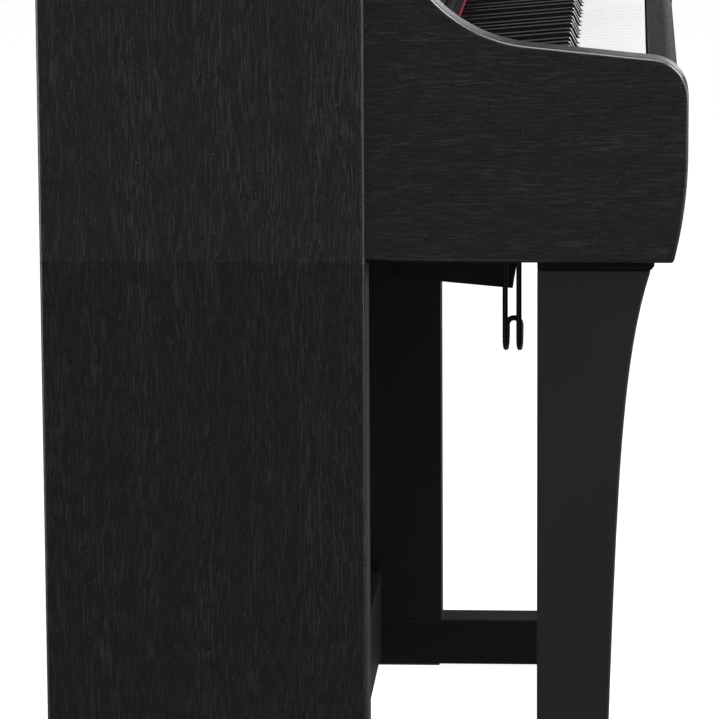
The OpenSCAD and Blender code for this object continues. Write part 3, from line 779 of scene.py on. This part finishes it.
def touch_marks():
    """Printed marks by the display: two lines, a plus, a minus and four rings."""
    bm = bmesh.new()
    glass, middle = 743.75, -CONTROLS_X
    for x_reach, low_y, high_y in ((8.5, -172, -171.4), (8.5, -108.6, -108), (4, -103, -102.2),
                                   (0.4, -106.6, -98.6), (4, -178.4, -177.6)):
        block(bm, (middle - x_reach, low_y, glass - 0.1), (middle + x_reach, high_y, glass + 0.05), 0.05,
              segments=1)
    ring = [(1.1, -0.1), (1.5, -0.1), (1.5, 0.05), (1.1, 0.05)]
    for y in (-160, -150, -130, -120):
        lathe(bm, ring, at(middle, y, glass), 24, True)
    piece("touch_marks", bm, "key_marks")


def knob_ribs():
    """Ribs across the top of the volume slider's knob."""
    pitch, rib, reach = 2.2, 1.0, 4.2
    bm = bmesh.new()
    for k in range(5):
        y = -129.4 + pitch * k
        block(bm, (CONTROLS_X - reach, y, 748.3), (CONTROLS_X + reach, y + rib, 749.1), 0.3)
    piece("knob_ribs", bm, "black_plastic", "volume_knob")


def power_lamp():
    """A small domed lamp beside the power button."""
    bm = bmesh.new()
    lathe(bm, [(0.1, 1.1), (0.7, 1.0), (1.2, 0.6), (1.3, 0.0), (0.1, 0.0)], at(CONTROLS_X, -168, 743.9), 24)
    piece("power_lamp", bm, "key_marks")


def desk_strip():
    """Ribs along the foot of the music desk's face, clear of its hinges."""
    pitch, rib = 2.1, 1.2
    bm = bmesh.new()
    for k in range(8):
        z = 9.5 + pitch * k
        for x0, x1 in ((-366, -318), (-282, 282), (318, 366)):
            block(bm, (x0, 8.6, z), (x1, 9.7, z + rib), 0.4, DESK_FOOT)
    piece("desk_strip", bm, "black_plastic", "music_desk")


def cover_pads():
    """Felt pads under the key cover, near its front edge."""
    reach = 30
    bm = bmesh.new()
    for x in (-520, 0, 520):
        block(bm, (x - reach, 24, -5.2), (x + reach, 36, -3.8), 0.5, COVER_EDGE)
    piece("cover_pads", bm, "glide_felt", "key_cover")


felt_bead()
speaker_covers()
pedals()
springs()
jack_nuts()
screws("hanger_screws", [HANGER_PLATE @ at(4, y, 0, 180) for y in (-11.5, 11.5)])
screws("chassis_screws", [at(x, 138, 82) for x in (-90, -50, 0, 50, 90)])
cam_caps()
socket_contacts()
touch_marks()
knob_ribs()
power_lamp()
desk_strip()
cover_pads()

# ---------------------------------------------------------------- stage, camera and light


def build_stage():
    """A white floor with no edge in view, which reflections don't show, and a dim white world."""
    bm = bmesh.new()
    bmesh.ops.create_grid(bm, x_segments=1, y_segments=1, size=30)
    mesh = bpy.data.meshes.new("floor")
    bm.to_mesh(mesh)
    bm.free()
    floor = bpy.data.objects.new("floor", mesh)
    scene.collection.objects.link(floor)
    floor.visible_glossy = False
    n = Nodes("floor_white", 0.9, Specular_IOR_Level=0.0)
    n.bsdf.inputs["Base Color"].default_value = (0.4, 0.4, 0.4, 1)
    n.bsdf.inputs["Emission Color"].default_value = (1, 1, 1, 1)
    n.bsdf.inputs["Emission Strength"].default_value = 0.92
    mesh.materials.append(n.material)
    world = bpy.data.worlds.new("studio")
    world.use_nodes = True
    world.node_tree.nodes["Background"].inputs["Color"].default_value = (1, 1, 1, 1)
    world.node_tree.nodes["Background"].inputs["Strength"].default_value = 0.14
    scene.world = world


def area_light(name, place, target, size, power):
    """A rectangular light that faces its target. Sizes are in metres and the power in watts."""
    data = bpy.data.lights.new(name, "AREA")
    data.shape = "RECTANGLE"
    data.size, data.size_y = size
    data.energy = power
    light = bpy.data.objects.new(name, data)
    light.location = place
    light.rotation_euler = (Vector(target) - Vector(place)).to_track_quat("-Z", "Y").to_euler()
    scene.collection.objects.link(light)


def build_camera():
    """A long lens, four metres out at the bass end, a little above the top board."""
    camera = bpy.data.cameras.new("camera")
    camera.sensor_width = 36
    camera.lens = 231.6
    camera.clip_end = 100
    obj = bpy.data.objects.new("camera", camera)
    obj.location = (-3.9475, -0.191, 1.1161)
    # Turned from looking along +X: yaw to the left, then pitch downwards, then roll.
    yaw, pitch, roll = (math.radians(a) for a in (3.385, 9.896, -0.318))
    turn = Matrix.Rotation(yaw - math.pi / 2, 3, "Z") @ Matrix.Rotation(math.pi / 2 - pitch, 3, "X")
    obj.rotation_euler = (turn @ Matrix.Rotation(roll, 3, "Z")).to_euler()
    scene.collection.objects.link(obj)
    scene.camera = obj


build_stage()
area_light("overhead", (-0.6, -0.4, 3.2), (-0.5, -0.1, 0.4), (1.6, 1.7), 44)
area_light("key", (-0.9, -2.6, 2.9), (-0.4, -0.1, 0.7), (1.2, 1.8), 115)
area_light("side_fill", (-2.9, -3.1, 2.2), (-0.6, 0, 0.6), (2.0, 2.0), 54)
area_light("front_strip", (-1.0, -4.0, 0.6), (-0.7, 0, 0.6), (1.8, 1.6), 48)
area_light("back_strip", (-0.9, 4.0, 0.6), (-0.7, 0.2, 0.6), (1.2, 1.6), 70)
area_light("far_card", (3.6, -0.6, 0.86), (-0.66, -0.14, 0.78), (0.8, 0.5), 5.0)
build_camera()
